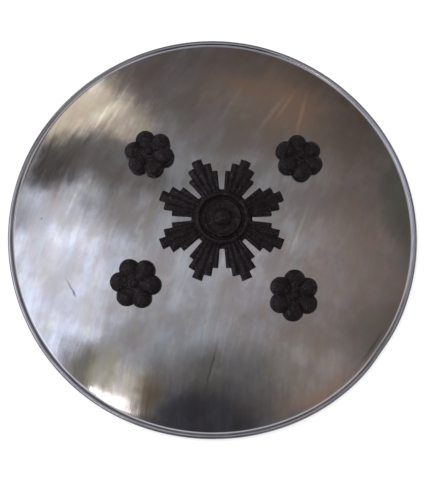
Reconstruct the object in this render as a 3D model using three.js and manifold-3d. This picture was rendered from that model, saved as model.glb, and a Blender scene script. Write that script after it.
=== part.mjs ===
// A round steel buckler lying face up on its rolled rim.
// Millimetres, +Z up. The origin is the middle of the circle on which the rim rests,
// and +Y is the shield's top.
import * as THREE from 'three';
import { mergeVertices } from 'three/addons/utils/BufferGeometryUtils.js';
import Module from 'manifold-3d';

const wasm = await Module();
wasm.setup();

// Shield plate: one domed sheet whose edge is rolled over to the front
const shieldDiameter = 400;
const shieldHeight = 59;
const sheetThickness = 1.5;
const rollDiameter = 5.0;

// Sunburst: rays of reeded bars around a hub. What the bars leave of the circle are slots
const rayCount = 8;
const centreBarLength = 33.0;
const secondBarLength = 26.7;
const outerBarLength = 18.4;
const centreBarAngle = THREE.MathUtils.degToRad(9.3);
const secondBarAngle = THREE.MathUtils.degToRad(7.4);
const outerBarAngle = THREE.MathUtils.degToRad(5.9);
const centreBarHeight = 4.8;
const secondBarHeight = 4.3;
const outerBarHeight = 3.8;
const reedFloorHeight = 2.7;
const barRootDepth = 0.9;

// Sunburst hub: widths of its mouldings from the middle outwards, and their heights
const hubKnobRadius = 8.9;
const hubKnobHeight = 10.6;
const dishWidth = 6.6;
const dishHeight = 4.2;
const ridgeWidth = 2.9;
const ridgeHeight = 5.9;
const grooveWidth = 2.1;
const grooveHeight = 3.4;
const ringWidth = 5.1;
const ringHeight = 6.8;
const lipWidth = 3.0;
const lipHeight = 2.2;

// Rosettes: ball-like petals whose necks run in to a knob
const petalCount = 6;
const petalRadius = 9.6;
const petalRingRadius = 14.9;
const petalHeight = 9.6;
const petalEdgeHeight = 2.6;
const neckHalfWidth = 4.2;
const rosetteKnobRadius = 5.6;
const rosetteKnobHeight = 11.0;
const rosetteKnobFoot = 5.2;

// The ornaments' places, set out by eye: distance from the shield's axis, bearing from +X,
// and the bearing of one petal
const sunburstDistance = 6.2;
const upperRightDistance = 103.3;
const upperLeftDistance = 90.7;
const lowerLeftDistance = 94.1;
const lowerRightDistance = 100.8;
const sunburstPlace = { distance: sunburstDistance, bearing: 7 };
const rosettes = [
  { name: 'upper_right', distance: upperRightDistance, bearing: 38.4, petal: 35.9 },
  { name: 'upper_left', distance: upperLeftDistance, bearing: 132.9, petal: 46.2 },
  { name: 'lower_left', distance: lowerLeftDistance, bearing: 218.4, petal: 52.8 },
  { name: 'lower_right', distance: lowerRightDistance, bearing: 316.4, petal: 29.1 },
];

// Shanks cast on the ornaments, peened over washers inside the shield
const rosetteShankRadius = 3.0;
const sunburstShankRadius = 4.0;
const shankClearance = 0.3;
const peenOverlap = 1.8;
const peenHeight = 2.0;
const washerThickness = 1.5;
const washerRimWidth = 5.0;

// Leather grip straps
const strapWidth = 24;
const strapThickness = 3.4;
const strapHandGap = 36;
const strapEndLength = 14;
const strapSeatLength = 12;
const strapFlatLength = 12;

// Gap kept between pieces that touch
const seatGap = 0.3;

// How finely the round forms are cut
const plateSides = 60;
const plateArcSteps = 7;
const rollSides = 12;
const hubSides = 32;
const petalSteps = 6;
const smallSides = 12;
const strapBendSteps = 8;
const strapRoundSteps = 4;

const steel = { color: 0x9a9896, roughness: 0.3, metalness: 1.0 };
const blackIron = { color: 0x1f1b1c, roughness: 0.6, metalness: 0.7 };
const leather = { color: 0x4a2d1c, roughness: 0.8, metalness: 0.0 };
const greySteel = { color: 0x6d6b69, roughness: 0.5, metalness: 1.0 };

// The sheet's inner face is a sphere that runs tangent into the roll: the sphere's centre
// lies below the crown, and as far from the roll's centre as the two radii together
const rollRadius = rollDiameter / 2;
const rollCentreRadius = shieldDiameter / 2 - rollRadius;
const crownAboveRoll = shieldHeight - sheetThickness - rollRadius;
const innerRadius = (rollCentreRadius ** 2 + crownAboveRoll ** 2 - rollRadius ** 2)
  / (2 * (rollRadius + crownAboveRoll));
const outerRadius = innerRadius + sheetThickness;
const domeCentreZ = shieldHeight - outerRadius;

// The plate's inner face is cut in flats, which lie inside the sphere by this much at most
const edgeSlope = Math.asin(rollCentreRadius / (innerRadius + rollRadius));
const innerFlatDepth = innerRadius * (1 - Math.cos(edgeSlope / plateArcSteps / 2))
  + rollCentreRadius * (1 - Math.cos(Math.PI / plateSides)) * Math.sin(edgeSlope);
const insideRadius = innerRadius - innerFlatDepth;

const hubRadius = hubKnobRadius + dishWidth + ridgeWidth + grooveWidth + ringWidth + lipWidth;

function toSolid(geometry) {
  const bare = geometry.clone();
  bare.deleteAttribute('normal');
  bare.deleteAttribute('uv');
  const merged = mergeVertices(bare, 1e-5);
  const index = merged.index.array;
  const triangles = [];
  for (let i = 0; i < index.length; i += 3) {
    const [a, b, c] = index.subarray(i, i + 3);
    if (a !== b && b !== c && c !== a) {
      triangles.push(a, b, c);
    }
  }
  const vertProperties = new Float32Array(merged.attributes.position.array);
  const triVerts = new Uint32Array(triangles);
  return new wasm.Manifold(new wasm.Mesh({ numProp: 3, vertProperties, triVerts }));
}

function toGeometry(solid) {
  const mesh = solid.getMesh();
  const geometry = new THREE.BufferGeometry();
  geometry.setAttribute('position', new THREE.BufferAttribute(mesh.vertProperties, 3));
  geometry.setIndex(new THREE.BufferAttribute(mesh.triVerts, 1));
  geometry.computeVertexNormals();
  return geometry;
}

function makeMesh(name, geometry, finish) {
  const mesh = new THREE.Mesh(geometry, new THREE.MeshStandardMaterial(finish));
  mesh.name = name;
  return mesh;
}

// A body turned about Z from a profile of [radius, height] pairs
function turned(profile, sides) {
  const points = profile.map(([radius, height]) => new THREE.Vector2(radius, height));
  return new THREE.LatheGeometry(points, sides).rotateX(Math.PI / 2);
}

// Points on an arc in a profile, from one angle to another, both ends included
function arcPoints(centre, radius, from, to, steps) {
  const points = [];
  for (let i = 0; i <= steps; i += 1) {
    const angle = from + (to - from) * i / steps;
    points.push([centre[0] + radius * Math.cos(angle), centre[1] + radius * Math.sin(angle)]);
  }
  return points;
}

// A group whose origin is the dome's centre and whose +Z goes out through a place on the plate
function domeFrame(distance, bearing) {
  const frame = new THREE.Group();
  frame.position.z = domeCentreZ;
  frame.rotation.set(0, Math.asin(distance / outerRadius), bearing, 'ZYX');
  frame.updateMatrixWorld();
  return frame;
}

function placeOf(ornament) {
  return domeFrame(ornament.distance, THREE.MathUtils.degToRad(ornament.bearing));
}

function holeThroughPlate(frame, shankRadius) {
  const depth = 8 * sheetThickness;
  const hole = new THREE.CylinderGeometry(
    shankRadius + shankClearance, shankRadius + shankClearance, depth, smallSides);
  hole.rotateX(Math.PI / 2).translate(0, 0, outerRadius);
  return toSolid(hole.applyMatrix4(frame.matrixWorld));
}

function shieldPlate() {
  const domeCentre = [0, domeCentreZ];
  const rollCentre = [rollCentreRadius, rollRadius];
  const tangent = Math.PI / 2 - edgeSlope;
  const innerFace = arcPoints(domeCentre, innerRadius, Math.PI / 2, tangent, plateArcSteps);

  // The roll's flats touch its round outline, and one of them lies on the ground
  const flatAngle = 2 * Math.PI / rollSides;
  const cornerRadius = rollRadius / Math.cos(flatAngle / 2);
  const firstCorner = -Math.PI / 2 - flatAngle / 2;
  const roll = arcPoints(rollCentre, cornerRadius, firstCorner,
    firstCorner + (rollSides - 3) * flatAngle, rollSides - 3);

  // The seam where the roll's edge comes back to the sheet's front
  const reach = innerRadius + rollRadius;
  const seamTurn = Math.acos(
    (rollRadius ** 2 + reach ** 2 - outerRadius ** 2) / (2 * rollRadius * reach));
  const seamAngle = Math.PI + tangent - seamTurn;
  const seam = [
    rollCentre[0] + rollRadius * Math.cos(seamAngle),
    rollCentre[1] + rollRadius * Math.sin(seamAngle),
  ];
  const seamSlope = Math.acos(seam[0] / outerRadius);
  const outerFace = arcPoints(domeCentre, outerRadius, seamSlope, Math.PI / 2, plateArcSteps);

  const profile = [...innerFace, ...roll, ...outerFace];
  profile[0][0] = 0;
  profile[profile.length - 1][0] = 0;
  let plate = toSolid(turned(profile, plateSides));
  plate = plate.subtract(holeThroughPlate(placeOf(sunburstPlace), sunburstShankRadius));
  for (const rosette of rosettes) {
    plate = plate.subtract(holeThroughPlate(placeOf(rosette), rosetteShankRadius));
  }
  return makeMesh('shield_plate', toGeometry(plate), steel);
}

// A shank from inside an ornament down to a peened head, whose flat side is at headTop
function shank(radius, rootTop, headTop) {
  const headRadius = radius + peenOverlap;
  return toSolid(turned([
    [0, headTop - peenHeight],
    [headRadius * 0.6, headTop - peenHeight * 0.85],
    [headRadius, headTop - peenHeight * 0.35],
    [headRadius, headTop],
    [radius, headTop],
    [radius, rootTop],
    [0, rootTop],
  ], smallSides));
}

function washer(name, shankRadius, top) {
  const inner = shankRadius + shankClearance;
  const outer = inner + washerRimWidth;
  return makeMesh(name, turned([
    [inner, top - washerThickness],
    [outer, top - washerThickness],
    [outer, top],
    [inner, top],
    [inner, top - washerThickness],
  ], smallSides), greySteel);
}

// A closed slab between two grids of points, given by functions of row and column.
// Where filled says that a cell is left out, the slab has a step or an opening.
function slab(rows, columns, topPoint, bottomPoint, filled = () => true) {
  const positions = [];
  const numbers = new Map();
  const at = (side, row, column) => {
    const key = `${side} ${row} ${column}`;
    if (!numbers.has(key)) {
      numbers.set(key, positions.length / 3);
      positions.push(...(side === 0 ? topPoint : bottomPoint)(row, column));
    }
    return numbers.get(key);
  };
  const isFilled = (row, column) => row >= 0 && row < rows && column >= 0 && column < columns
    && filled(row, column);
  const faces = [];
  const quad = (a, b, c, d) => faces.push(a, b, c, a, c, d);
  const wall = (from, to) => quad(at(0, ...from), at(0, ...to), at(1, ...to), at(1, ...from));
  for (let row = 0; row < rows; row += 1) {
    for (let column = 0; column < columns; column += 1) {
      if (isFilled(row, column)) {
        const near = [row, column];
        const far = [row + 1, column];
        const farRight = [row + 1, column + 1];
        const nearRight = [row, column + 1];
        quad(at(0, ...near), at(0, ...far), at(0, ...farRight), at(0, ...nearRight));
        quad(at(1, ...near), at(1, ...nearRight), at(1, ...farRight), at(1, ...far));
        if (!isFilled(row - 1, column)) wall(near, nearRight);
        if (!isFilled(row + 1, column)) wall(farRight, far);
        if (!isFilled(row, column - 1)) wall(far, near);
        if (!isFilled(row, column + 1)) wall(nearRight, farRight);
      }
    }
  }
  const geometry = new THREE.BufferGeometry();
  geometry.setAttribute('position', new THREE.Float32BufferAttribute(positions, 3));
  geometry.setIndex(faces);
  return geometry;
}

// One ray: wedge-shaped bars side by side, each cut square at its tip, with a ridge along its
// middle. The longer bars stand in the middle of the ray, and the roots are let into the hub.
function sunRay(direction) {
  const lengths = [outerBarLength, secondBarLength, centreBarLength];
  const heights = [outerBarHeight, secondBarHeight, centreBarHeight];
  const widths = [outerBarAngle, secondBarAngle, centreBarAngle];
  const bars = [0, 1, 2, 1, 0];
  const columnAngles = [0];
  for (const bar of bars) {
    const edge = columnAngles[columnAngles.length - 1];
    columnAngles.push(edge + widths[bar] / 2, edge + widths[bar]);
  }
  const rayAngle = columnAngles[columnAngles.length - 1];
  const rootStations = [-barRootDepth, barRootDepth];
  const stations = [...rootStations, ...lengths].map((length) => hubRadius + length);
  const point = (row, column, lift) => {
    const onRidge = column % 2 === 1;
    const tipAngle = widths[Math.max(0, row - rootStations.length)];
    const radius = stations[row] / (onRidge ? 1 : Math.cos(tipAngle / 2));
    const angle = direction - rayAngle / 2 + columnAngles[column];
    const surface = Math.sqrt((outerRadius + lift) ** 2 - radius ** 2);
    return [radius * Math.cos(angle), radius * Math.sin(angle), surface];
  };
  const barOf = (column) => bars[Math.floor(column / 2)];
  return slab(stations.length - 1, 2 * bars.length,
    (row, column) => point(row, column, column % 2 === 1 ? heights[barOf(column)] : reedFloorHeight),
    (row, column) => point(row, column, row === 0 ? lipHeight / 2 : seatGap),
    (row, column) => row <= barOf(column) + 1);
}

function hub() {
  const face = (radius, lift) => [radius, Math.sqrt((outerRadius + lift) ** 2 - radius ** 2)];
  const dishEdge = hubKnobRadius + dishWidth;
  const ridgeEdge = dishEdge + ridgeWidth;
  const ringInside = ridgeEdge + grooveWidth;
  const ringEdge = ringInside + ringWidth;
  return toSolid(turned([
    face(0, seatGap),
    face(hubRadius / 2, seatGap),
    face(hubRadius, seatGap),
    face(hubRadius, lipHeight),
    face(ringEdge, lipHeight),
    face(ringEdge - ringWidth * 0.22, ringHeight),
    face(ringInside + ringWidth * 0.22, ringHeight),
    face(ringInside, grooveHeight),
    face(ridgeEdge, grooveHeight),
    face(ridgeEdge - ridgeWidth / 2, ridgeHeight),
    face(dishEdge, dishHeight),
    face(hubKnobRadius, dishHeight),
    face(hubKnobRadius * 0.72, dishHeight + (hubKnobHeight - dishHeight) * 0.72),
    face(hubKnobRadius * 0.34, dishHeight + (hubKnobHeight - dishHeight) * 0.95),
    face(0, hubKnobHeight),
  ], hubSides));
}

function sunburst() {
  const headTop = insideRadius - seatGap - washerThickness - seatGap;
  const shankTop = outerRadius + lipHeight;
  const solids = [hub(), shank(sunburstShankRadius, shankTop, headTop)];
  for (let ray = 0; ray < rayCount; ray += 1) {
    solids.push(toSolid(sunRay((ray + 0.5) * 2 * Math.PI / rayCount)));
  }
  const frame = placeOf(sunburstPlace);
  const mesh = makeMesh('sunburst', toGeometry(wasm.Manifold.union(solids)), blackIron);
  mesh.rotation.z = -THREE.MathUtils.degToRad(sunburstPlace.bearing);
  frame.add(mesh);
  frame.add(washer('sunburst_washer', sunburstShankRadius, insideRadius - seatGap));
  return frame;
}

// How far the rosette's outline lies from its middle, at an angle from a petal's axis
function petalOutline(angle) {
  return petalRingRadius * Math.cos(angle)
    + Math.sqrt(petalRadius ** 2 - (petalRingRadius * Math.sin(angle)) ** 2);
}

// The rosette's face above the plate, along a petal's axis and across it
function petalFace(along, across) {
  let halfWidth = petalRadius;
  if (along < petalRingRadius) {
    halfWidth = neckHalfWidth + (petalRadius - neckHalfWidth) * along / petalRingRadius;
  } else {
    halfWidth = Math.sqrt(Math.max(0, petalRadius ** 2 - (along - petalRingRadius) ** 2));
  }
  const share = halfWidth > 0 ? Math.min(1, Math.abs(across) / halfWidth) : 1;
  const rise = halfWidth / petalRadius * Math.sqrt(1 - share ** 2);
  return petalEdgeHeight + (petalHeight - petalEdgeHeight) * rise;
}

function knobFace(distance) {
  const share = Math.min(1, distance / rosetteKnobRadius);
  return rosetteKnobFoot + (rosetteKnobHeight - rosetteKnobFoot) * Math.sqrt(1 - share ** 2);
}

function rosetteBody() {
  const petalAngle = 2 * Math.PI / petalCount;
  const spokes = petalCount * petalSteps;
  const shares = [0.36, 0.74, 1];
  const knobRings = [rosetteKnobRadius * 0.62, rosetteKnobRadius];
  const positions = [0, 0, outerRadius + rosetteKnobHeight];
  for (let spoke = 0; spoke < spokes; spoke += 1) {
    const turn = spoke * petalAngle / petalSteps;
    const offAxis = turn - Math.round(turn / petalAngle) * petalAngle;
    const outline = petalOutline(offAxis);
    const radii = [
      ...knobRings,
      ...shares.map((share) => rosetteKnobRadius + (outline - rosetteKnobRadius) * share),
    ];
    radii.forEach((radius, ring) => {
      const petal = petalFace(radius * Math.cos(offAxis), radius * Math.sin(offAxis));
      const height = ring < knobRings.length ? Math.max(knobFace(radius), petal) : petal;
      positions.push(radius * Math.cos(turn), radius * Math.sin(turn), outerRadius + height);
    });
    const seat = Math.sqrt((outerRadius + seatGap) ** 2 - outline ** 2);
    positions.push(outline * Math.cos(turn), outline * Math.sin(turn), seat);
  }
  const rings = knobRings.length + shares.length + 1;
  const bottom = positions.length / 3;
  positions.push(0, 0, outerRadius + seatGap);
  const at = (spoke, ring) => 1 + (spoke % spokes) * rings + ring;
  const faces = [];
  for (let spoke = 0; spoke < spokes; spoke += 1) {
    faces.push(0, at(spoke, 0), at(spoke + 1, 0));
    for (let ring = 0; ring < rings - 1; ring += 1) {
      faces.push(at(spoke, ring), at(spoke, ring + 1), at(spoke + 1, ring + 1));
      faces.push(at(spoke, ring), at(spoke + 1, ring + 1), at(spoke + 1, ring));
    }
    faces.push(bottom, at(spoke + 1, rings - 1), at(spoke, rings - 1));
  }
  const geometry = new THREE.BufferGeometry();
  geometry.setAttribute('position', new THREE.Float32BufferAttribute(positions, 3));
  geometry.setIndex(faces);
  return geometry;
}

// The strap's outer face lies on the plate's inside along both edges
const strapSeatRadius = Math.sqrt((insideRadius - seatGap) ** 2 - (strapWidth / 2) ** 2);
const strapWasherTop = strapSeatRadius - strapThickness - seatGap;

function rosette(place) {
  const frame = placeOf(place);
  const headTop = strapWasherTop - washerThickness - seatGap;
  const body = toSolid(rosetteBody());
  const stem = shank(rosetteShankRadius, outerRadius + petalEdgeHeight, headTop);
  const mesh = makeMesh(`rosette_${place.name}`, toGeometry(body.add(stem)), blackIron);
  mesh.rotation.z = THREE.MathUtils.degToRad(place.petal - place.bearing);
  frame.add(mesh);
  frame.add(washer(`strap_washer_${place.name}`, rosetteShankRadius, strapWasherTop));
  return frame;
}

// A strap between two rosettes' shanks, in a frame at the dome's centre: X across the strap,
// Y along it and Z out through its middle
function gripStrap(name, from, to) {
  const out = (place) => new THREE.Vector3(0, 0, 1).transformDirection(placeOf(place).matrixWorld);
  const start = out(from);
  const end = out(to);
  const up = start.clone().add(end).normalize();
  const along = end.clone().sub(start).normalize();
  const across = new THREE.Vector3().crossVectors(along, up);
  const halfAngle = start.angleTo(end) / 2;

  const midRadius = strapSeatRadius - strapThickness / 2;
  const bendStart = halfAngle - strapSeatLength / midRadius;
  const flatEnd = strapFlatLength / 2 / midRadius;
  const tip = halfAngle + strapEndLength / midRadius;
  const loopDepth = strapHandGap + innerRadius - strapSeatRadius;
  const middle = (angle) => {
    const share = (Math.abs(angle) - flatEnd) / (bendStart - flatEnd);
    const drop = (1 + Math.cos(Math.PI * THREE.MathUtils.clamp(share, 0, 1))) / 2;
    const radius = midRadius - loopDepth * drop;
    return new THREE.Vector2(radius * Math.sin(angle), radius * Math.cos(angle));
  };

  // Half of the strap's stations, each with its half width: the round end, then the bend
  const roundRadius = strapWidth / 2;
  const stations = [];
  for (let i = 1; i <= strapRoundSteps; i += 1) {
    const turn = Math.PI / 2 * i / strapRoundSteps;
    const angle = -tip + roundRadius * (1 - Math.cos(turn)) / midRadius;
    stations.push({ angle, halfWidth: roundRadius * Math.sin(turn) });
  }
  for (let i = 0; i <= strapBendSteps; i += 1) {
    const angle = -bendStart + (bendStart - flatEnd) * i / strapBendSteps;
    stations.push({ angle, halfWidth: roundRadius });
  }
  const mirrored = stations.map(({ angle, halfWidth }) => ({ angle: -angle, halfWidth }));
  stations.push(...mirrored.reverse());
  const point = (row, column, lift) => {
    const { angle, halfWidth } = stations[row];
    const step = 1e-4;
    const direction = middle(angle + step).sub(middle(angle - step)).normalize();
    const outward = new THREE.Vector2(-direction.y, direction.x).multiplyScalar(lift);
    const place = middle(angle).add(outward);
    return [(column === 0 ? -1 : 1) * halfWidth, place.x, place.y];
  };
  let strap = toSolid(slab(stations.length - 1, 1,
    (row, column) => point(row, 1 - column, strapThickness / 2),
    (row, column) => point(row, 1 - column, -strapThickness / 2)));
  for (const angle of [-halfAngle, halfAngle]) {
    const radius = rosetteShankRadius + shankClearance;
    const hole = new THREE.CylinderGeometry(radius, radius, 4 * strapThickness, smallSides);
    hole.rotateX(Math.PI / 2).translate(0, 0, midRadius).rotateX(-angle);
    strap = strap.subtract(toSolid(hole));
  }
  const mesh = makeMesh(name, toGeometry(strap), leather);
  mesh.position.z = domeCentreZ;
  mesh.quaternion.setFromRotationMatrix(new THREE.Matrix4().makeBasis(across, along, up));
  return mesh;
}

const [upperRight, upperLeft, lowerLeft, lowerRight] = rosettes;
const shield = new THREE.Group();
shield.add(shieldPlate());
shield.add(sunburst());
shield.add(...rosettes.map(rosette));
shield.add(gripStrap('grip_strap_left', lowerLeft, upperLeft));
shield.add(gripStrap('grip_strap_right', lowerRight, upperRight));

export default shield;
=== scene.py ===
"""A round steel buckler lying face up: polished and streaked steel with a rolled rim,
blackened cast ornaments, and leather grip straps inside."""
import math
import random

import bpy
import numpy as np
from mathutils import Matrix, Vector, noise


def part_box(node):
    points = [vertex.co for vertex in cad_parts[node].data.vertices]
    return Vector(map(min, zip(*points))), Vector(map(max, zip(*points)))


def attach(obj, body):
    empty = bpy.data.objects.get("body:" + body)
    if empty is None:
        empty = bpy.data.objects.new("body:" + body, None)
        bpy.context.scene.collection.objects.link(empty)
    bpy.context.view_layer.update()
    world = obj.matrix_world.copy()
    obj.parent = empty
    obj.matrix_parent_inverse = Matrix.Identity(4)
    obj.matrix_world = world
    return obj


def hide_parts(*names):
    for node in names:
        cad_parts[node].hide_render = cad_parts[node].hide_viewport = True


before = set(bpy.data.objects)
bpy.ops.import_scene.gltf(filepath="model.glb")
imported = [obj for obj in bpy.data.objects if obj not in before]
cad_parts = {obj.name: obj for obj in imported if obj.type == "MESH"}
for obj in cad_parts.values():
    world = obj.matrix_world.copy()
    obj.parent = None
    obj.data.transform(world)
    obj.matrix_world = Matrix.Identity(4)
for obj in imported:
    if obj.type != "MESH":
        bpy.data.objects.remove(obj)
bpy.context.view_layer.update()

# Lengths below are in millimetres, and meshes are scaled to metres as they are made
MM = 0.001

# Shield plate, with its size read from the frame
SHIELD_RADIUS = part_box("shield_plate")[1].x / MM
SHIELD_HEIGHT = 59.0
SHEET_THICKNESS = 1.5
ROLL_RADIUS = 2.5
# Where the roll meets the front, the sheet turns up into it with this radius
FILLET_RADIUS = 2.0

# The dome's inner face is a sphere that runs tangent into the roll
ROLL_CENTRE_RADIUS = SHIELD_RADIUS - ROLL_RADIUS
CROWN_ABOVE_ROLL = SHIELD_HEIGHT - SHEET_THICKNESS - ROLL_RADIUS
INNER_RADIUS = (ROLL_CENTRE_RADIUS**2 + CROWN_ABOVE_ROLL**2 - ROLL_RADIUS**2) / (
    2 * (ROLL_RADIUS + CROWN_ABOVE_ROLL))
OUTER_RADIUS = INNER_RADIUS + SHEET_THICKNESS
DOME_CENTRE_Z = SHIELD_HEIGHT - OUTER_RADIUS
# The frame's plate is cut in flats, which lie inside the sphere by this much at most
INNER_FLAT_DEPTH = 0.45
INSIDE_RADIUS = INNER_RADIUS - INNER_FLAT_DEPTH

# The fillet between the roll and the front touches both. Angles are measured at the dome's centre
TO_ROLL = INNER_RADIUS + ROLL_RADIUS
TO_FILLET = OUTER_RADIUS + FILLET_RADIUS
EDGE_ANGLE = math.pi / 2 - math.asin(ROLL_CENTRE_RADIUS / TO_ROLL)
FILLET_ANGLE = EDGE_ANGLE + math.acos(
    (TO_ROLL**2 + TO_FILLET**2 - (ROLL_RADIUS + FILLET_RADIUS)**2) / (2 * TO_ROLL * TO_FILLET))
FILLET_CENTRE = (TO_FILLET * math.cos(FILLET_ANGLE),
                 DOME_CENTRE_Z + TO_FILLET * math.sin(FILLET_ANGLE))
FRONT_EDGE_RADIUS = OUTER_RADIUS * math.cos(FILLET_ANGLE)

# The plate's mesh: how finely it is turned
PLATE_SIDES = 360
INSIDE_STEPS = 44
ROLL_STEPS = 44
FILLET_STEPS = 12
FRONT_STEPS = 110

# The forged plate is neither truly round nor truly smooth: (lobes, depth, bearing in degrees)
OUT_OF_ROUND = [(2, 0.89, 52), (3, 0.44, -31), (5, 0.6, 15)]
FLAT_SPOT_BEARING = math.radians(-36)
FLAT_SPOT_DEPTH = 0.9
FLAT_SPOT_HALF_ANGLE = math.radians(5)
FLAT_SPOT_INNER_RADIUS = 190.0
WAVE_DEPTH = 0.3
WAVE_LENGTH = 85.0
# The waves lie this share of their depth below the true dome, and die out over the last stretch
WAVE_SINK = 0.6
WAVE_FADE_WIDTH = 20.0
# The roll, with this margin inside it, is squeezed here and there by up to this share of its thickness
ROLL_MARGIN = 0.5
ROLL_PINCH = 0.05
ROLL_PINCH_SCALE = 9

# Sunburst
RAY_COUNT = 8
BAR_LENGTHS = [18.4, 26.7, 33.0, 26.7, 18.4]
BAR_HEIGHTS = [3.8, 4.3, 4.8, 4.3, 3.8]
BAR_ANGLES = [math.radians(degrees) for degrees in (5.9, 7.4, 9.3, 7.4, 5.9)]
REED_FLOOR_HEIGHT = 2.7
BAR_ROOT_DEPTH = 2.4
# Neighbouring bars overlap by twice this angle in radians, so that they fuse
BAR_OVERLAP = 0.0004
BAR_STEPS = 10
# The hub's knob, dish, ridge, groove, ring and lip: distance from its middle and height on the plate
HUB_MOULDINGS = [
    (0, 10.6), (3.1, 10.2), (5.8, 8.9), (7.9, 6.6), (9.0, 4.8), (10.6, 4.2), (14.1, 4.2),
    (15.5, 4.9), (17.0, 5.9), (18.3, 4.9), (18.7, 3.5), (20.3, 3.4), (20.9, 5.2), (22.1, 6.6),
    (23.1, 6.9), (24.2, 6.6), (25.3, 5.2), (25.7, 2.4), (28.1, 2.2), (28.6, 1.7),
]
HUB_RADIUS = HUB_MOULDINGS[-1][0]
HUB_SIDES = 96
SUNBURST_SHANK_RADIUS = 4.0
# Distance from the axis and bearing
SUNBURST_PLACE = (6.2, math.radians(7))

# Rosettes
PETAL_COUNT = 6
PETAL_RADIUS = 9.6
PETAL_RING_RADIUS = 14.9
PETAL_HEIGHT = 9.6
PETAL_EDGE_HEIGHT = 2.6
NECK_HALF_WIDTH = 2.6
NECK_HEIGHT_SHARE = 0.48
# How quickly the neck widens and rises, and how full the ball is: 1 is even
NECK_WIDENING = 1.15
NECK_RISE = 1.3
PETAL_FULLNESS = 0.9
# Petals are uneven: the most they turn aside, in degrees, and the least share of a size that they have
PETAL_TURN_SPREAD = 1.5
LEAST_PETAL_RADIUS = 0.965
LEAST_RING_RADIUS = 0.975
LEAST_PETAL_HEIGHT = 0.92
# How far the petals' walls and the floor between them reach below the plate's face
PETAL_ROOT_DEPTH = 3
ROSETTE_FLOOR_RADIUS = 13
ROSETTE_FLOOR_HEIGHT = 3.2
# The mound between the petals and the knob on it: each one's half height stands on its foot
MOUND_RADIUS = 9.8
MOUND_FOOT = 3.0
MOUND_HALF_HEIGHT = 4.7
ROSETTE_KNOB_RADIUS = 4.6
ROSETTE_KNOB_FOOT = 5.2
ROSETTE_KNOB_HALF_HEIGHT = 5.6
ROSETTE_SHANK_RADIUS = 3.0
# Distance from the axis, bearing and the bearing of one petal in degrees, and share of the full size
ROSETTES = {
    "upper_right": (103.3, 38.4, 35.9, 0.975),
    "upper_left": (90.7, 132.9, 46.2, 1.0),
    "lower_left": (94.1, 218.4, 52.8, 1.0),
    "lower_right": (100.8, 316.4, 29.1, 1.0),
}
ROSETTE_FLOOR_SIDES = 48

# Shanks with their peened heads, washers and straps inside the shield
SHANK_ROOT_HEIGHT = 2
PEEN_OVERLAP = 1.8
PEEN_HEIGHT = 2.0
# The castings' undersides are laid on the plate down to this far outside the heads
HEAD_MARGIN = 0.4
WASHER_THICKNESS = 1.5
WASHER_RIM_WIDTH = 5.0
SHANK_CLEARANCE = 0.3
STRAP_WIDTH = 24.0
STRAP_THICKNESS = 3.4
STRAP_HAND_GAP = 36.0
STRAP_END_LENGTH = 14.0
STRAP_SEAT_LENGTH = 12.0
STRAP_FLAT_LENGTH = 12.0
STRAP_EDGE_RADIUS = 1.2
STRAP_STEPS = 150
# How much the strap's stations crowd at its ends, and the share of its width left at the tips
STRAP_CROWDING = 0.35
STRAP_TIP_SHARE = 0.2
WASHER_BEVEL = 0.35
WASHER_SIDES = 64
SHANK_SIDES = 32
SEAT_GAP = 0.3

# How far from the dome's centre the straps, and the tops of the washers, lie
STRAP_SEAT_RADIUS = math.sqrt((INSIDE_RADIUS - SEAT_GAP) ** 2 - (STRAP_WIDTH / 2) ** 2)
STRAP_WASHER_TOP = STRAP_SEAT_RADIUS - STRAP_THICKNESS - SEAT_GAP
SUNBURST_WASHER_TOP = INSIDE_RADIUS - SEAT_GAP

# Camera: the angle from which the picture is taken
CAMERA_AZIMUTH = math.radians(-8.27)
CAMERA_ELEVATION = math.radians(76.46)
CAMERA_ROLL = math.radians(8.07)
CAMERA_DISTANCE = 1.353
CAMERA_TARGET_HEIGHT = 0.0034
CAMERA_ACROSS = 0.00151
CAMERA_UP = -0.01143
FOCAL_LENGTH_PIXELS = 1392.4
PICTURE_WIDTH_PIXELS = 430
SENSOR_WIDTH = 36.0


def picture_axes():
    """The picture's right and up and the way back to the camera, as directions of the frame."""
    azimuth, elevation = CAMERA_AZIMUTH, CAMERA_ELEVATION
    back = Vector((math.sin(azimuth) * math.cos(elevation),
                   -math.cos(azimuth) * math.cos(elevation), math.sin(elevation)))
    level = Vector((math.cos(azimuth), math.sin(azimuth), 0))
    upright = back.cross(level)
    right = math.cos(CAMERA_ROLL) * level + math.sin(CAMERA_ROLL) * upright
    up = math.cos(CAMERA_ROLL) * upright - math.sin(CAMERA_ROLL) * level
    return right, up, back


PICTURE_RIGHT, PICTURE_UP, PICTURE_BACK = picture_axes()


# Mesh helpers
def linked(name, data):
    """An object of the scene made from its data."""
    made = bpy.data.objects.new(name, data)
    bpy.context.scene.collection.objects.link(made)
    return made


def shade_smooth(mesh):
    mesh.polygons.foreach_set("use_smooth", [True] * len(mesh.polygons))
    mesh.update()


def make_object(name, vertices, faces):
    """A smooth-shaded object from points in millimetres."""
    mesh = bpy.data.meshes.new(name)
    mesh.from_pydata((np.asarray(vertices, float) * MM).tolist(), [], faces)
    shade_smooth(mesh)
    return linked(name, mesh)


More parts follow.
